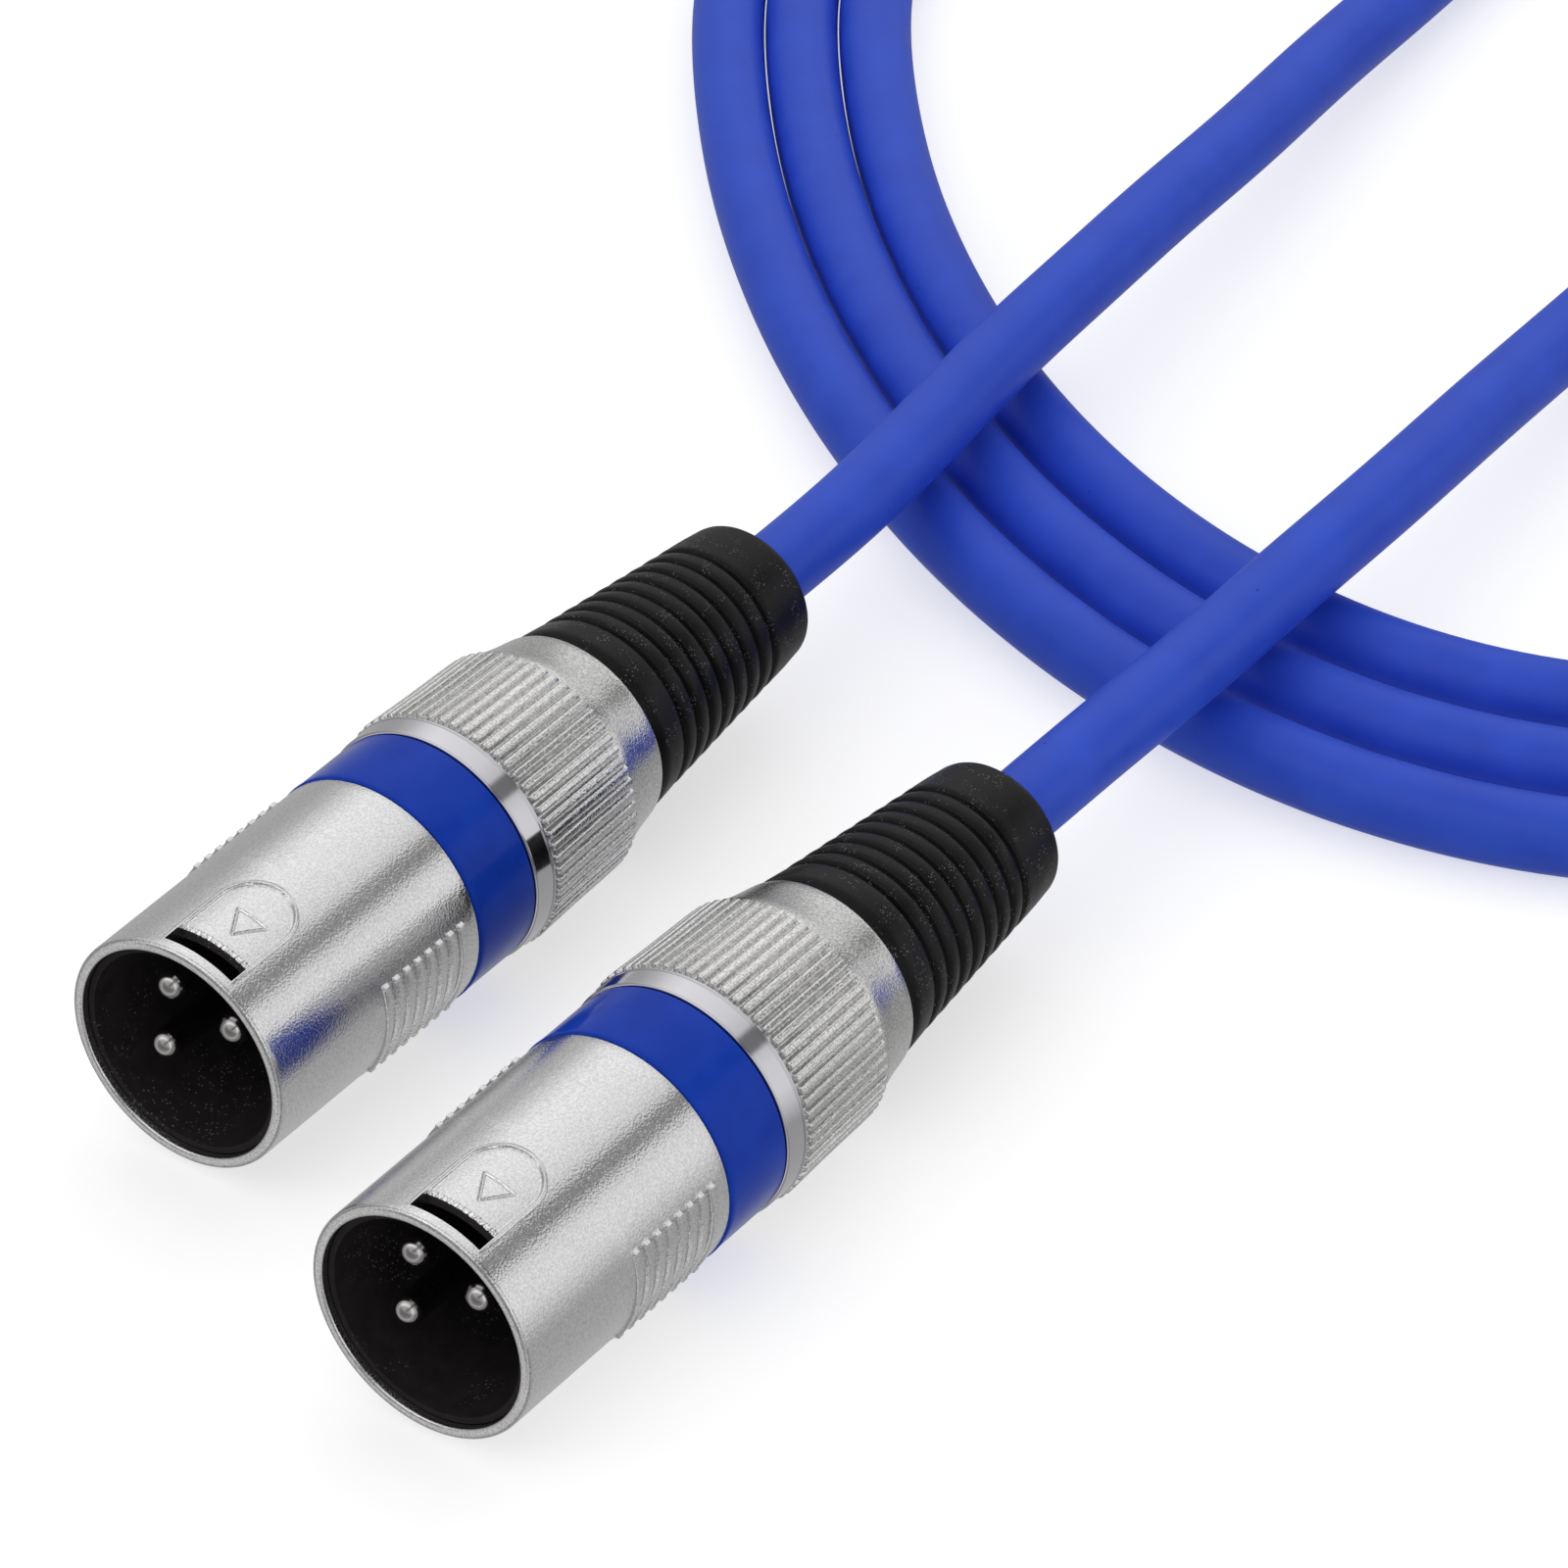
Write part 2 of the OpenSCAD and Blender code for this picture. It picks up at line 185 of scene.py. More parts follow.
def make_piece(name, verts, faces, material_index=None):
    """A mesh object from points in millimetres, smooth but for its sharp edges."""
    mesh = bpy.data.meshes.new(name)
    mesh.from_pydata((np.asarray(verts) * MM).tolist(), [], faces)
    work = bmesh.new()
    work.from_mesh(mesh)
    if material_index is not None:
        for face, index in zip(work.faces, material_index):
            face.material_index = index
    bmesh.ops.remove_doubles(work, verts=work.verts, dist=1e-7)
    bmesh.ops.recalc_face_normals(work, faces=work.faces)
    work.to_mesh(mesh)
    work.free()
    mesh.shade_smooth()
    mesh.set_sharp_from_angle(angle=math.radians(SHARP_TURN))
    piece = bpy.data.objects.new(name, mesh)
    bpy.context.scene.collection.objects.link(piece)
    return piece


def arc(centre, radius, start, end, steps):
    """Points (z, r) round a corner, with angles from the +z direction."""
    turn = np.radians(np.linspace(start, end, steps + 1))
    return [(centre[0] + radius * math.cos(t), centre[1] + radius * math.sin(t)) for t in turn]


def radius_at(z, outline):
    """The radius at a place along an outline of (z, r)."""
    places, radii = zip(*outline)
    return np.interp(z, places, radii)


def lathe(name, side, loop, angles, centre=(0.0, 0.0), lift=None, window=None, material=None):
    """Turns a closed outline of (z, r) round a plug's axis, or round centre beside it.

    lift(angle, z, r) moves each point in or out. window = (columns, outer row, inner row)
    leaves out those faces and closes the wall between them. material(z) picks a face's
    material by its place along the plug.
    """
    loop = np.array(loop, float)
    angles = np.array(angles, float)
    rows, columns = len(loop), len(angles)
    angle, z = np.meshgrid(angles, loop[:, 0], indexing="ij")
    radius = np.repeat(loop[None, :, 1], columns, axis=0)
    if lift is not None:
        radius = radius + lift(angle, z, radius)
    turn = np.radians(angle)
    points = np.stack(
        [centre[0] - radius * np.sin(turn), centre[1] + radius * np.cos(turn), z], axis=-1)
    faces, kinds = [], []
    cut = window[0] if window else ()
    for c in range(columns):
        after = (c + 1) % columns
        for k in range(rows):
            following = (k + 1) % rows
            if c in cut and k in window[1:]:
                continue
            faces.append((
                c * rows + k, after * rows + k, after * rows + following, c * rows + following))
            kinds.append(material((loop[k, 0] + loop[following, 0]) / 2) if material else 0)
    if window:
        walls = window_walls(window, rows)
        faces += walls
        kinds += [0] * len(walls)
    return make_piece(name, plug_points(side, points.reshape(-1, 3)), faces, kinds)


def window_walls(window, rows):
    """The four walls between a window's edges outside and inside the shell."""
    cut, outer, inner = window
    first, last = cut[0], cut[-1] + 1
    walls = []
    for c in cut:
        for here, there in ((outer, inner + 1), (outer + 1, inner)):
            walls.append((
                c * rows + here, (c + 1) * rows + here, (c + 1) * rows + there, c * rows + there))
    for c in (first, last):
        walls.append((
            c * rows + outer, c * rows + outer + 1, c * rows + inner, c * rows + inner + 1))
    return walls


def plug_points(side, points):
    """From a plug's own frame to the row's, still in millimetres."""
    mouth, axis_y = PLUGS[side]
    roll = math.radians(LATCH_ROLL)
    x, y, z = points[:, 0], points[:, 1], points[:, 2]
    return np.stack([
        mouth + z,
        axis_y + x * math.cos(roll) - y * math.sin(roll),
        AXIS_Z + x * math.sin(roll) + y * math.cos(roll),
    ], axis=1)


def even_angles(count):
    return np.arange(count) * 360.0 / count


def dress(piece, body, materials, nodes):
    """Everything the frame and the renderer need to know about a piece."""
    for material in materials:
        piece.data.materials.append(material)
    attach(piece, body)
    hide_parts(*nodes)


# ---------------------------------------------------------------- materials

def new_material(name):
    material = bpy.data.materials.new(name)
    material.use_nodes = True
    nodes, links = material.node_tree.nodes, material.node_tree.links
    nodes.clear()
    output = nodes.new("ShaderNodeOutputMaterial")
    shader = nodes.new("ShaderNodeBsdfPrincipled")
    links.new(shader.outputs["BSDF"], output.inputs["Surface"])
    where = nodes.new("ShaderNodeTexCoord")
    return material, nodes, links, shader, where.outputs["Object"]


def noise(nodes, links, where, size_mm, detail=2.0, stretch=None):
    """Noise whose blobs are about size_mm across; stretch scales it along x, y and z."""
    texture = nodes.new("ShaderNodeTexNoise")
    texture.inputs["Scale"].default_value = 1.0 / (size_mm * MM)
    texture.inputs["Detail"].default_value = detail
    if stretch:
        mapping = nodes.new("ShaderNodeMapping")
        mapping.inputs["Scale"].default_value = stretch
        links.new(where, mapping.inputs["Vector"])
        where = mapping.outputs["Vector"]
    links.new(where, texture.inputs["Vector"])
    return texture.outputs["Fac"]


def remap(nodes, links, value, low, high, out_low, out_high):
    """Stretches low to high onto out_low to out_high, and stops there."""
    node = nodes.new("ShaderNodeMapRange")
    node.inputs["From Min"].default_value = low
    node.inputs["From Max"].default_value = high
    node.inputs["To Min"].default_value = out_low
    node.inputs["To Max"].default_value = out_high
    links.new(value, node.inputs["Value"])
    return node.outputs["Result"]


def blend_colour(nodes, links, share, colour_a, colour_b):
    """colour_a where share is 0 and colour_b where it is 1."""
    ramp = nodes.new("ShaderNodeValToRGB")
    ramp.color_ramp.elements[0].color = (*colour_a, 1)
    ramp.color_ramp.elements[1].color = (*colour_b, 1)
    links.new(share, ramp.inputs["Fac"])
    return ramp.outputs["Color"]


def bump(nodes, links, shader, height, depth_mm):
    node = nodes.new("ShaderNodeBump")
    node.inputs["Distance"].default_value = depth_mm * MM
    links.new(height, node.inputs["Height"])
    links.new(node.outputs["Normal"], shader.inputs["Normal"])


def math_node(nodes, links, operation, value_a, value_b):
    """Arithmetic on two values, each of them a socket or a number."""
    node = nodes.new("ShaderNodeMath")
    node.operation = operation
    for socket, value in zip(node.inputs, (value_a, value_b)):
        if isinstance(value, float):
            socket.default_value = value
        else:
            links.new(value, socket)
    return node.outputs[0]


def specks(nodes, links, where, size_mm, share, spot):
    """1 inside small round specks, 0 elsewhere: cells of size_mm, a share of them filled."""
    cells = nodes.new("ShaderNodeTexVoronoi")
    cells.inputs["Scale"].default_value = 1.0 / (size_mm * MM)
    links.new(where, cells.inputs["Vector"])
    dot = remap(nodes, links, cells.outputs["Distance"], spot * 0.6, spot, 1.0, 0.0)
    split = nodes.new("ShaderNodeSeparateColor")
    links.new(cells.outputs["Color"], split.inputs["Color"])
    chosen = math_node(nodes, links, "LESS_THAN", split.outputs["Red"], share)
    return math_node(nodes, links, "MULTIPLY", dot, chosen)


def add_dust_and_pit_shade(nodes, links, shader, where, colour, size_mm, share, spot, patch_mm=None):
    """Lays specks of another colour over the shader's own, in patches if they have a size. The
    specks are dust, save where they are dark: then they are painted shade for small pits.
    """
    patch_edge, outside_patches = (0.5, 0.62), 0.05
    under = shader.inputs["Base Color"].links[0].from_socket
    dots = specks(nodes, links, where, size_mm, share, spot)
    if patch_mm:
        patches = noise(nodes, links, where, patch_mm, detail=1.0)
        within = remap(nodes, links, patches, *patch_edge, outside_patches, 1.0)
        dots = math_node(nodes, links, "MULTIPLY", dots, within)
    mix = nodes.new("ShaderNodeMix")
    mix.data_type = "RGBA"
    links.new(dots, mix.inputs[0])
    links.new(under, mix.inputs[6])
    mix.inputs[7].default_value = (*colour, 1)
    links.new(mix.outputs[2], shader.inputs["Base Color"])


def frosted_metal(name, dark, light, grain_mm, depth_mm, rough):
    """Pearl nickel: grains of slightly different brightness that scatter the highlights."""
    material, nodes, links, shader, where = new_material(name)
    grain = noise(nodes, links, where, grain_mm, detail=1.5)
    share = remap(nodes, links, grain, *GRAIN_SPAN, 0.0, 1.0)
    links.new(blend_colour(nodes, links, share, dark, light), shader.inputs["Base Color"])
    wear = noise(nodes, links, where, 6.0, detail=1.0)
    links.new(remap(nodes, links, wear, *NOISE_SPAN, *rough), shader.inputs["Roughness"])
    shader.inputs["Metallic"].default_value = 1.0
    bump(nodes, links, shader, grain, depth_mm)
    return material


def polished_metal(name, colour, rough):
    """Bright plating with faint marks left by polishing round the axis."""
    material, nodes, links, shader, where = new_material(name)
    streaks = noise(nodes, links, where, 1.0, detail=3.0, stretch=(8.0, 1.0, 1.0))
    tone = [c * 0.93 for c in colour]
    links.new(blend_colour(nodes, links, streaks, tone, colour), shader.inputs["Base Color"])
    links.new(remap(nodes, links, streaks, *NOISE_SPAN, *rough), shader.inputs["Roughness"])
    shader.inputs["Metallic"].default_value = 1.0
    return material


def moulded_plastic(
        name, dark, light, rough, mottle_mm, texture_mm, depth_mm, specular=0.5, dust_and_pit_shade=None):
    """Plastic or rubber with a slow change of tone and a fine moulded texture.

    Its last argument says what specks lie on it, in the form the speck-laying function takes: grey
    dust on the black parts, dark blue specks of painted shade for small pits on the jacket.
    """
    material, nodes, links, shader, where = new_material(name)
    mottle = noise(nodes, links, where, mottle_mm, detail=3.0)
    share = remap(nodes, links, mottle, *NOISE_SPAN, 0.0, 1.0)
    links.new(blend_colour(nodes, links, share, dark, light), shader.inputs["Base Color"])
    links.new(remap(nodes, links, mottle, *NOISE_SPAN, *rough), shader.inputs["Roughness"])
    bump(nodes, links, shader, noise(nodes, links, where, texture_mm), depth_mm)
    shader.inputs["Specular IOR Level"].default_value = specular
    if dust_and_pit_shade:
        add_dust_and_pit_shade(nodes, links, shader, where, **dust_and_pit_shade)
    return material


def make_materials():
    return {
        "satin": frosted_metal(
            "satin_nickel", dark=(0.59, 0.585, 0.59), light=(0.76, 0.755, 0.76),
            grain_mm=0.18, depth_mm=0.024, rough=(0.17, 0.20)),
        "knurl": frosted_metal(
            "knurl_nickel", dark=(0.48, 0.475, 0.47), light=(0.78, 0.775, 0.77),
            grain_mm=0.18, depth_mm=0.030, rough=(0.18, 0.22)),
        "polished": polished_metal(
            "polished_nickel", colour=(0.62, 0.61, 0.64), rough=(0.07, 0.12)),
        "contact": polished_metal(
            "contact_metal", colour=(0.46, 0.44, 0.44), rough=(0.12, 0.20)),
        "brass": polished_metal(
            "spring_brass", colour=(0.78, 0.62, 0.33), rough=(0.2, 0.3)),
        "ring": moulded_plastic(
            "coding_blue", dark=(0.008, 0.046, 0.42), light=(0.011, 0.056, 0.48),
            rough=(0.14, 0.2), mottle_mm=3.0, texture_mm=0.6, depth_mm=0.001, specular=0.07),
        "black": moulded_plastic(
            "black_plastic", dark=(0.020, 0.017, 0.018), light=(0.029, 0.025, 0.026),
            rough=(0.55, 0.7), mottle_mm=1.5, texture_mm=0.2, depth_mm=0.008, specular=0.08,
            dust_and_pit_shade={"colour": (0.17, 0.165, 0.16), "size_mm": 0.3, "share": 0.6, "spot": 0.28,
                  "patch_mm": 5.0}),
        "grey": moulded_plastic(
            "grey_plastic", dark=(0.018, 0.018, 0.02), light=(0.03, 0.03, 0.033),
            rough=(0.4, 0.55), mottle_mm=1.5, texture_mm=0.2, depth_mm=0.004),
        "cores": moulded_plastic(
            "core_insulation", dark=(0.42, 0.05, 0.03), light=(0.55, 0.09, 0.05),
            rough=(0.35, 0.45), mottle_mm=1.0, texture_mm=0.2, depth_mm=0.002),
        "boot": moulded_plastic(
            "boot_rubber", dark=(0.0026, 0.0021, 0.0029), light=(0.0048, 0.0040, 0.0052),
            rough=(0.34, 0.46), mottle_mm=4.0, texture_mm=0.2, depth_mm=0.012, specular=0.20,
            dust_and_pit_shade={"colour": (0.16, 0.158, 0.16), "size_mm": 0.2, "share": 0.6, "spot": 0.33,
                  "patch_mm": 1.6}),
        "jacket": moulded_plastic(
            "cable_jacket", dark=(0.027, 0.080, 0.61), light=(0.035, 0.099, 0.69),
            rough=(0.38, 0.50), mottle_mm=5.0, texture_mm=0.5, depth_mm=0.003, specular=0.22,
            # dark blue specks: painted shade for small pits in the jacket, not dust
            dust_and_pit_shade={"colour": (0.012, 0.03, 0.26), "size_mm": 2.5, "share": 0.2, "spot": 0.06}),
    }


# ---------------------------------------------------------------- plug pieces

def shell_angles():
    """Angles of the shell's columns: close together where its surface has detail."""
    edge = math.degrees(math.asin(WINDOW_HALF / BARREL_R))
    pad = np.linspace(-edge, edge, 107)
    beside = np.linspace(edge, edge + 4.0, 12)[1:]
    rib_end = np.linspace(-3.0, 3.0, 11)
    plain_step = 3.0
    lines = [pad, beside, -beside]
    for end in (90.0 - RIB_HALF_ARC, 90.0 + RIB_HALF_ARC):
        lines += [end + rib_end, -(end + rib_end)]
    used = np.concatenate(lines)
    plain = [
        angle for angle in np.arange(-180.0, 180.0, plain_step)
        if np.abs(used - angle).min() > plain_step / 2
    ]
    return np.sort(np.concatenate([used, plain])), edge


def rib_rows(first):
    """Places along the plug for one grip rib's rows: close together at both its edges."""
    edge = np.array([-0.08, -0.04, 0.0, 0.04, 0.08, 0.12])
    return np.concatenate([first + edge, [first + RIB_WIDTH / 2], first + RIB_WIDTH - edge[::-1]])


def shell_loop():
    """The shell's outline, and the rows whose faces the latch window leaves out."""
    rear_r = BARREL_R + BARREL_STEP
    pad_row, thread_row = 0.06, THREAD_PITCH / 8
    outer = arc((LIP, BARREL_R - LIP), LIP, 180, 90, 5)
    outer += [(0.6, BARREL_R), (WINDOW_FRONT, BARREL_R)]
    window_row = len(outer) - 1
    outer += [(z, BARREL_R) for z in np.arange(WINDOW_REAR, PAD_END + 0.5, pad_row)]
    outer += [
        (BARREL_STEP_START, BARREL_R),
        ((BARREL_STEP_START + BARREL_STEP_END) / 2, (BARREL_R + rear_r) / 2),
        (BARREL_STEP_END, rear_r),
    ]
    for i in range(RIB_COUNT):
        outer += [(z, rear_r) for z in rib_rows(RIB_FIRST + i * RIB_PITCH)]
    outer += [(BARREL_LEN - 0.8, rear_r)]
    outer += arc((BARREL_LEN - REAR_EDGE, rear_r - REAR_EDGE), REAR_EDGE, 90, 0, 3)
    outer += [(BARREL_LEN, SEAT_R), (THREAD_START, SEAT_R)]
    thread = np.arange(THREAD_START, SPIGOT_END - THREAD_DEPTH, thread_row)
    outer += [(z, THREAD_R) for z in thread]
    outer += [(SPIGOT_END, THREAD_R - SPIGOT_CHAMFER), (SPIGOT_END, REAR_BORE_R)]
    inner = [(SOCKET_END, REAR_BORE_R), (SOCKET_END, SOCKET_R), (WINDOW_REAR, SOCKET_R)]
    inner_row = len(outer) + len(inner) - 1
    inner += [(WINDOW_FRONT, SOCKET_R)]
    inner += arc((MOUTH_EDGE, SOCKET_R + MOUTH_EDGE), MOUTH_EDGE, 270, 180, 4)
    return outer + inner, window_row, inner_row


def segment_distance(x, z, start, end):
    dx, dz = end[0] - start[0], end[1] - start[1]
    along = np.clip(((x - start[0]) * dx + (z - start[1]) * dz) / (dx * dx + dz * dz), 0, 1)
    return np.hypot(x - start[0] - along * dx, z - start[1] - along * dz)


def pad_lift(angle, z):
    """Thumb pad: a recess with a round rear end, a bead round it and an arrow sunk in it."""
    x = BARREL_R * np.sin(np.radians(angle))
    round_at = PAD_END - WINDOW_HALF
    outside = np.where(
        z < round_at, np.abs(x) - WINDOW_HALF, np.hypot(x, z - round_at) - WINDOW_HALF)
    recess = -PAD_DEPTH * smooth_step(-outside / PAD_EDGE)
    bead = BEAD_HEIGHT * ridge(outside - BEAD_AT, BEAD_WIDTH)
    tip, left, right = ARROW
    near = np.minimum.reduce([
        segment_distance(x, z, tip, left),
        segment_distance(x, z, tip, right),
        segment_distance(x, z, left, right),
    ])
    arrow = -ARROW_DEPTH * ridge(near, ARROW_WIDTH)

    # the pad's front edge slopes down into the window, uneven as it was cast
    uneven = WAVE_HEIGHT * sum(np.sin(np.radians(angle) * waves) for waves in WAVES_PER_TURN)
    slope = np.clip(1.0 - (z - WINDOW_REAR) / (SLOPE_LENGTH + uneven), 0, 1)
    cast = np.where(outside < 0, (uneven - SLOPE_DEPTH) * slope, 0.0)
    return recess + bead + arrow + cast


def rib_lift(angle, z):
    """Grip ribs: flat strips with a knob at each end, and slightly sunk gaps between them."""
    flank, flank_outside = 0.16, 0.06
    gap_half_arc = RIB_HALF_ARC - 1.5
    from_side = np.abs(np.abs(angle) - 90.0)
    rib = np.zeros_like(z)
    for i in range(RIB_COUNT):
        middle = RIB_FIRST + i * RIB_PITCH + RIB_WIDTH / 2
        inside = RIB_WIDTH / 2 + flank_outside - np.abs(z - middle)
        rib = np.maximum(rib, smooth_step(inside / flank))
    span = smooth_step((RIB_HALF_ARC - from_side) / RIB_END_ARC)
    knob = KNOB_RISE * ridge(from_side - RIB_HALF_ARC + RIB_END_ARC, KNOB_ARC)
    last_rib = RIB_FIRST + (RIB_COUNT - 1) * RIB_PITCH
    between = (z > RIB_FIRST) & (z < last_rib)
    gap = -RIB_GAP_DEPTH * smooth_step(gap_half_arc - from_side)
    return RIB_HEIGHT * rib * (span + knob) + np.where(between, gap * (1.0 - rib), 0.0)


def shell_lift(angle, z, radius):
    """The thumb pad, the grip ribs and the screw thread on the spigot."""
    on_barrel = (radius > BARREL_R - 0.05) & (z < BARREL_LEN)
    on_pad = on_barrel & (z >= WINDOW_REAR - 1e-6) & (np.abs(angle) < 60)
    on_grip = on_barrel & (z > RIB_FIRST - 0.1)
    on_thread = (np.abs(radius - THREAD_R) < 0.01) & (z > THREAD_START)
    turn = (z / THREAD_PITCH + angle / 360.0) % 1.0
    thread = -THREAD_DEPTH * np.abs(2 * turn - 1)
    return (
        np.where(on_pad, pad_lift(angle, z), 0.0) + np.where(on_grip, rib_lift(angle, z), 0.0)
        + np.where(on_thread, thread, 0.0))


def make_shell(side, materials):
    loop, outer_row, inner_row = shell_loop()
    angles, edge = shell_angles()
    columns = [c for c in range(len(angles)) if -edge - 1e-6 <= angles[c] < edge - 1e-6]
    shell = lathe(
        f"plug_{side}_barrel_shell", side, loop, angles,
        lift=shell_lift, window=(columns, outer_row, inner_row))
    dress(shell, "lead", [materials["satin"]], [f"plug_{side}_shell"])


def make_window_painted_shade(side, materials):
    """A thin black sheet over the lower half of the window's rear wall: painted shade, standing
    for the socket's dark reflection in that metal wall.
    """
    inner_r, outer_r = SOCKET_R - 0.1, BARREL_R - 0.38
    front, rear = WINDOW_REAR - 0.07, WINDOW_REAR - 0.01
    half = math.degrees(math.asin(WINDOW_HALF / BARREL_R)) - 0.3
    turns = np.radians(np.linspace(-half, half, 41))
    corners = [(front, inner_r), (front, outer_r), (rear, outer_r), (rear, inner_r)]
    points = [(-r * math.sin(t), r * math.cos(t), z) for t in turns for z, r in corners]
    faces = [
        (i * 4 + k, i * 4 + (k + 1) % 4, i * 4 + 4 + (k + 1) % 4, i * 4 + 4 + k)
        for i in range(len(turns) - 1) for k in range(4)
    ]
    end = len(points) - 4
    faces += [(0, 1, 2, 3), (end, end + 1, end + 2, end + 3)]
    # this black sheet is painted shade: the metal wall behind it reflects the dark socket
    shade_sheet = make_piece(f"plug_{side}_window_painted_shade", plug_points(side, np.array(points)), faces)
    shade_sheet.data.materials.append(materials["black"])
    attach(shade_sheet, "lead")


def make_contact(side, number, materials):
    """A pin with a round tip, its thicker body in the insert and its solder cup."""
    place, distance = CONTACTS[number - 1]
    turn = math.radians(place)
    centre = (-distance * math.sin(turn), distance * math.cos(turn))
    pin_r, body_r, cup_r, cup_bore_r, chamfer = 1.2, 1.45, 1.4, 0.95, 0.1
    tip, pin_end, body_start, body_end, cup_floor, cup_end = 1.8, 14.6, 15.2, 25.0, 27.5, 31.0
    loop = arc((tip + pin_r, 0.0), pin_r, 180, 90, 10)
    loop += [(pin_end, pin_r), (body_start, body_r), (body_end, body_r), (body_end, cup_r)]
    loop += [(cup_end - chamfer, cup_r), (cup_end, cup_r - chamfer)]
    loop += [(cup_end, cup_bore_r), (cup_floor, cup_bore_r), (cup_floor - 0.2, 0.0)]
    contact = lathe(f"plug_{side}_pin_{number}", side, loop, even_angles(48), centre=centre)
    dress(
        contact, "lead", [materials["contact"]],
        [f"plug_{side}_contact_{number}"])


def make_ring(side, materials):
    inner_r, front_edge, rear_edge = SEAT_R + 0.05, 0.25, 0.12
    loop = [(RING_START, inner_r), (RING_START, RING_R - 0.2)]
    loop += arc((RING_START + front_edge, RING_R - 0.2), front_edge, 180, 100, 4)[1:]
    loop += [(RING_START + 0.7, RING_R)]
    loop += arc((RING_END - rear_edge, RING_R - rear_edge), rear_edge, 90, 0, 3)
    loop += [(RING_END, inner_r)]
    ring = lathe(f"plug_{side}_colour_ring", side, loop, even_angles(192))
    dress(ring, "lead", [materials["ring"]], [f"plug_{side}_coding_ring"])


def knurl_lift(angle, z, radius):
    """Rounded teeth along the taper, with round front ends and grooves between them."""
    groove_half, flank = 0.02, 0.25
    round_depth, front_rise, rear_fall = 0.4, 0.3, 0.16
    across = (angle / (360.0 / KNURL_TEETH)) % 1.0
    from_groove = np.minimum(across, 1.0 - across)
    tooth = smooth_step((from_groove - groove_half) / flank)
    from_middle = 2.0 * across - 1.0
    round_front = round_depth * (1.0 - np.sqrt(np.clip(1.0 - from_middle ** 2, 0, 1)))
    front = smooth_step((z - KNURL_START - round_front) / front_rise)
    rear = 1.0 - smooth_step((z - KNURL_END + rear_fall) / rear_fall)
    root = radius_at(z, KNURL_ROOT)
    on_knurl = (radius > 9.4) & (z > KNURL_START + 0.02) & (z < KNURL_END + 0.02)
    return np.where(on_knurl, root + (radius - root) * tooth * front * rear - radius, 0.0)


def make_nut(side, materials):
    """Polished collar with a rounded lip, then the knurl, the cone and the bores inside."""
    collar_edge, lip_edge, end_edge = 0.2, 0.16, 0.25
    lip_z = KNURL_START - 0.4
    outer = arc((NUT_START + collar_edge, COLLAR_R - collar_edge), collar_edge, 180, 90, 4)
    outer += [(lip_z, COLLAR_R)]
    outer += arc((lip_z + 0.2, COLLAR_R - 0.06), lip_edge, 150, 10, 6)
    front_root, rear_root = radius_at([KNURL_START, KNURL_END], KNURL_ROOT)
    outer += [(KNURL_START - 0.03, front_root), (KNURL_START + 0.02, front_root)]
    rows = np.concatenate([
        KNURL_START + np.array([0.03, 0.1, 0.17, 0.24, 0.31, 0.38, 0.46, 0.54, 0.62, 0.72]),
        np.linspace(KNURL_START + 1, KNURL_END - 0.8, 10),
        KNURL_END - np.array([0.3, 0.16, 0.12, 0.08, 0.04, 0.0]),
    ])
    outer += list(zip(rows, radius_at(rows, KNURL_TOP)))
    outer += [(KNURL_END + 0.03, rear_root)] + NUT_CONE
    outer += arc((NUT_END - end_edge, 8.1), end_edge, 80, 0, 3)
    inner = [
        (NUT_END, CABLE_HOLE_R), (FLANGE_STOP, CABLE_HOLE_R), (FLANGE_STOP, NUT_BORE_R),
        (NUT_THREAD_END, NUT_BORE_R), (NUT_THREAD_END, NUT_THREAD_R), (NUT_START, NUT_THREAD_R),
    ]
    # columns across one tooth, as shares of its width
    columns = [
        0, 0.04, 0.08, 0.13, 0.18, 0.23, 0.3, 0.4, 0.5, 0.6, 0.7, 0.77, 0.82, 0.87, 0.92, 0.96]
    teeth = np.arange(KNURL_TEETH)[:, None] + np.array(columns)
    nut = lathe(
        f"plug_{side}_knurled_nut", side, outer + inner, teeth.ravel() * 360.0 / KNURL_TEETH,
        lift=knurl_lift, material=lambda z: 0 if z < KNURL_START - 0.02 else 1)
    dress(
        nut, f"plug_{side}_nut",
        [materials["polished"], materials["knurl"]], [f"plug_{side}_back_nut"])


def boot_taper(z):
    return BOOT_R - (BOOT_R - TAPER_END_R) * (z - BOOT_START) / (TAPER_END - BOOT_START)


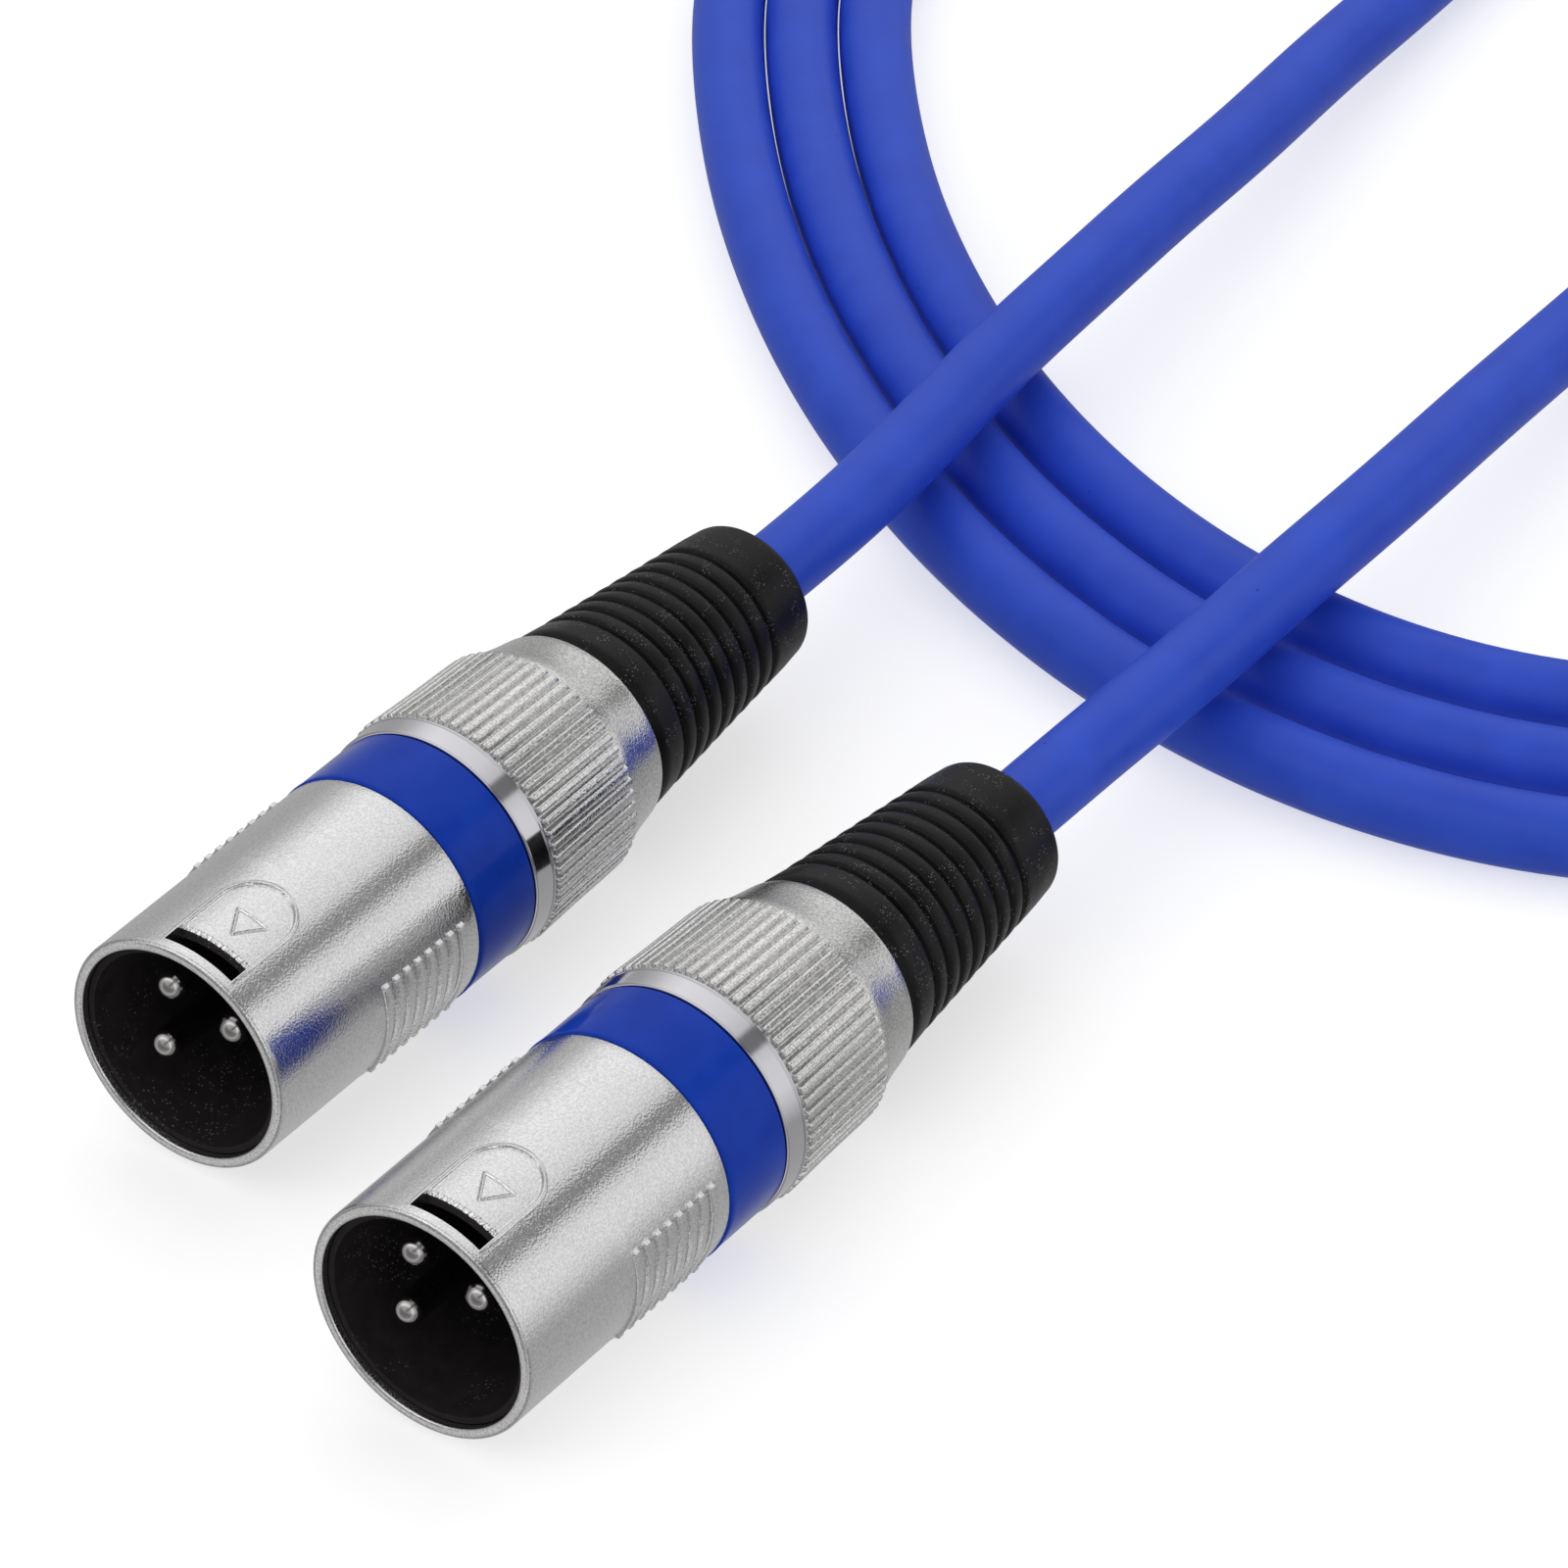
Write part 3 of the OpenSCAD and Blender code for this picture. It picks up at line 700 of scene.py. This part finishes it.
def make_boot(side, materials):
    # behind the first shoulder: distance from the boot's start and how far below the taper
    shoulder = [(1.0, 0.04), (1.2, -0.02), (1.5, -0.03), (2.2, -0.01), (3.1, 0.02)]
    # share of the pitch along a groove and the rib behind it, and how far below the taper
    groove = [
        (0.00, 0.12), (0.05, 0.24), (0.10, 0.46), (0.16, 0.55), (0.22, 0.46), (0.27, 0.24),
        (0.32, 0.12), (0.42, 0.03), (0.62, 0.0), (0.86, 0.03),
    ]
    end_edge, hole_edge = 0.9, 0.2
    loop = [
        (FLANGE_START, BOOT_BORE_R), (FLANGE_START, FLANGE_R), (FLANGE_STOP, FLANGE_R),
        (FLANGE_STOP, NECK_R), (BOOT_START, NECK_R),
    ]
    loop += [(BOOT_START, 7.3), (BOOT_START + 0.1, 7.45), (BOOT_START + 0.75, 7.85)]
    places = [(BOOT_START + along, depth) for along, depth in shoulder]
    for i in range(GROOVE_COUNT):
        start = GROOVE_FIRST + i * GROOVE_PITCH
        places += [(start + share * GROOVE_PITCH, depth) for share, depth in groove]
    loop += [(z, boot_taper(z) - depth) for z, depth in places]
    loop += [(65.2, boot_taper(65.2)), (TAPER_END, TAPER_END_R), (67.6, 6.0)]
    loop += arc((PLUG_LEN - end_edge, 5.03), end_edge, 80, 0, 6)
    loop += arc((PLUG_LEN - hole_edge, BOOT_BORE_R + hole_edge), hole_edge, 0, -90, 3)
    boot = lathe(f"plug_{side}_strain_boot", side, loop, even_angles(144))
    dress(
        boot, f"plug_{side}_boot_slide", [materials["boot"]],
        [f"plug_{side}_boot"])


# ---------------------------------------------------------------- cable

def coil_point(psi):
    """Middle of the cable at an angle round the oval; it winds inwards, clockwise."""
    done = (SHIFT_END - psi) / 360.0
    part = (done - math.floor(done)) * 360.0
    track = 1.0 - math.floor(done)
    plain = 360.0 - (COIL_OUT - SHIFT_END)
    if part > plain:
        track -= smooth_step((part - plain) / (360.0 - plain))
    turn = math.radians(psi)
    near = COIL_NEAR + track * NEAR_PITCH
    far = COIL_FAR + track * TURN_PITCH
    x = (near if math.cos(turn) < 0 else far) * math.cos(turn)
    y = (COIL_HALF + track * TURN_PITCH) * math.sin(turn)
    tilt = math.radians(COIL_ANGLE)
    return (
        COIL_CENTRE[0] + x * math.cos(tilt) - y * math.sin(tilt),
        COIL_CENTRE[1] + x * math.sin(tilt) + y * math.cos(tilt),
        CABLE_R,
    )


def spline(points, spacing):
    """Natural cubic curve through the points, as points an even spacing apart."""
    points = np.array(points, float)
    gaps = np.linalg.norm(np.diff(points, axis=0), axis=1) ** 0.5
    count = len(points)
    system = np.eye(count)
    right = np.zeros_like(points)
    for i in range(1, count - 1):
        before, after = gaps[i - 1], gaps[i]
        system[i, i - 1:i + 2] = before, 2 * (before + after), after
        right[i] = 6 * ((points[i + 1] - points[i]) / after - (points[i] - points[i - 1]) / before)
    bend = np.linalg.solve(system, right)
    fine = []
    for i, gap in enumerate(gaps):
        t = np.linspace(0, gap, 24, endpoint=False)[:, None]
        slope = (points[i + 1] - points[i]) / gap - gap * (2 * bend[i] + bend[i + 1]) / 6
        cubic = (bend[i + 1] - bend[i]) / (6 * gap)
        fine.append(points[i] + slope * t + bend[i] / 2 * t**2 + cubic * t**3)
    fine = np.concatenate(fine + [points[-1:]])
    run = np.concatenate([[0], np.cumsum(np.linalg.norm(np.diff(fine, axis=0), axis=1))])
    even = np.linspace(0, run[-1], int(run[-1] / spacing) + 1)
    return np.stack([np.interp(even, run, fine[:, k]) for k in range(3)], axis=1)


def make_cable(materials):
    turns = np.arange(COIL_IN, COIL_OUT - 360 * COIL_TURNS - 0.1, -COIL_STEP)
    path = spline(LEAD_A + [coil_point(psi) for psi in turns] + LEAD_B[::-1], RING_SPACING)
    around = 32
    ahead = np.gradient(path, axis=0)
    ahead /= np.linalg.norm(ahead, axis=1)[:, None]
    beside = np.cross([0.0, 0.0, 1.0], ahead)
    beside /= np.linalg.norm(beside, axis=1)[:, None]
    above = np.cross(ahead, beside)
    turn = (np.arange(around) * 2 * math.pi / around)[None, :, None]
    rings = path[:, None] + CABLE_R * (
        beside[:, None] * np.cos(turn) + above[:, None] * np.sin(turn))
    faces = [
        (i * around + k, i * around + (k + 1) % around,
         (i + 1) * around + (k + 1) % around, (i + 1) * around + k)
        for i in range(len(path) - 1) for k in range(around)
    ]
    last = (len(path) - 1) * around
    faces += [tuple(range(around)), tuple(last + k for k in range(around))]
    cable = make_piece("blue_cable", rings.reshape(-1, 3), faces)
    dress(
        cable, "lead", [materials["jacket"]],
        ["cable_lead_a", "cable_lead_b", "cable_coil"])


# ---------------------------------------------------------------- frame's own nodes

def finish_cad_nodes(materials):
    """Materials for the CAD nodes that stay: the inserts and what is inside the plugs."""
    looks = {
        "insert": "black", "ground_tab": "brass", "wires": "cores",
        "cable_clamp": "grey", "jacket": "jacket",
    }
    for side in "ab":
        for part, look in looks.items():
            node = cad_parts[f"plug_{side}_{part}"]
            node.data.materials.clear()
            node.data.materials.append(materials[look])
            node.data.shade_smooth()
            node.data.set_sharp_from_angle(angle=math.radians(CAD_SHARP_TURN))


# ---------------------------------------------------------------- studio

def make_floor():
    """Pale paper just below the object, which glows a little so that it looks white."""
    half, z = 3.0, -0.0001
    mesh = bpy.data.meshes.new("floor")
    mesh.from_pydata(
        [(-half, -half, z), (half, -half, z), (half, half, z), (-half, half, z)],
        [], [(0, 1, 2, 3)])
    floor = bpy.data.objects.new("floor", mesh)
    bpy.context.scene.collection.objects.link(floor)
    material, _, _, shader, _ = new_material("floor_paper")
    shader.inputs["Base Color"].default_value = (0.62, 0.62, 0.62, 1)
    shader.inputs["Roughness"].default_value = 0.9
    shader.inputs["Emission Color"].default_value = (1, 1, 1, 1)
    shader.inputs["Emission Strength"].default_value = 0.6
    mesh.materials.append(material)
    # the plugs and the cable are lit from below by the studio's grey, not by the white floor
    floor.visible_diffuse = False
    floor.visible_glossy = False
    floor.visible_shadow = False


def grey_ramp(nodes, links, share, stops):
    """A colour ramp of greys: places from 0 to 1 in order, with a value each."""
    ramp = nodes.new("ShaderNodeValToRGB")
    elements = ramp.color_ramp.elements
    for place, _ in stops[1:-1]:
        elements.new(place)
    for element, (place, value) in zip(elements, stops):
        element.position = place
        element.color = (value, value, value, 1)
    links.new(share, ramp.inputs["Fac"])
    return ramp.outputs["Color"]


def make_studio():
    """Soft light from two long panels, overhead and on the camera's side, round a dark gap.

    The brightness goes by the angle round the x axis, where 0 is overhead and 90 the
    camera's side, times a strength that goes by how far a direction leans along x.
    """
    around = [
        (-180, 0.50), (-118, 0.45), (-85, 0.45), (-74, 0.48), (-60, 0.66), (-46, 0.96),
        (-34, 1.10), (-8, 1.02), (12, 0.92), (27, 0.76), (31, 0.22), (44, 0.22), (48, 0.80),
        (60, 0.92), (82, 0.94), (97, 0.72), (112, 0.42), (140, 0.45), (180, 0.50),
    ]
    along = [
        (-1.0, 0.5), (-0.74, 0.85), (-0.68, 1.6), (-0.58, 1.6), (-0.5, 0.95), (-0.25, 0.6),
        (0.0, 0.8), (0.25, 1.04), (0.66, 1.08), (0.82, 0.88), (0.9, 0.70), (0.96, 0.9),
        (1.0, 1.25),
    ]
    world = bpy.data.worlds.new("studio")
    world.use_nodes = True
    nodes, links = world.node_tree.nodes, world.node_tree.links
    background = nodes["Background"]
    where = nodes.new("ShaderNodeTexCoord")
    split = nodes.new("ShaderNodeSeparateXYZ")
    links.new(where.outputs["Generated"], split.inputs["Vector"])
    towards_camera = math_node(nodes, links, "MULTIPLY", split.outputs["Y"], -1.0)
    turn = math_node(nodes, links, "ARCTAN2", towards_camera, split.outputs["Z"])
    turned = remap(nodes, links, turn, -math.pi, math.pi, 0.0, 1.0)
    colour = grey_ramp(
        nodes, links, turned, [((angle + 180) / 360, value) for angle, value in around])
    links.new(colour, background.inputs["Color"])
    lean = remap(nodes, links, split.outputs["X"], -1.0, 1.0, 0.0, 1.0)
    strength = grey_ramp(nodes, links, lean, [((x + 1) / 2, value) for x, value in along])
    links.new(strength, background.inputs["Strength"])
    bpy.context.scene.world = world
    bpy.context.scene.view_settings.view_transform = "Standard"


make_camera()
materials = make_materials()
make_cable(materials)
for side in "ab":
    make_shell(side, materials)
    # a thin black sheet of painted shade on the window's rear wall
    make_window_painted_shade(side, materials)
    for number in (1, 2, 3):
        make_contact(side, number, materials)
    make_ring(side, materials)
    make_nut(side, materials)
    make_boot(side, materials)
finish_cad_nodes(materials)
make_floor()
make_studio()

bpy.context.view_layer.update()
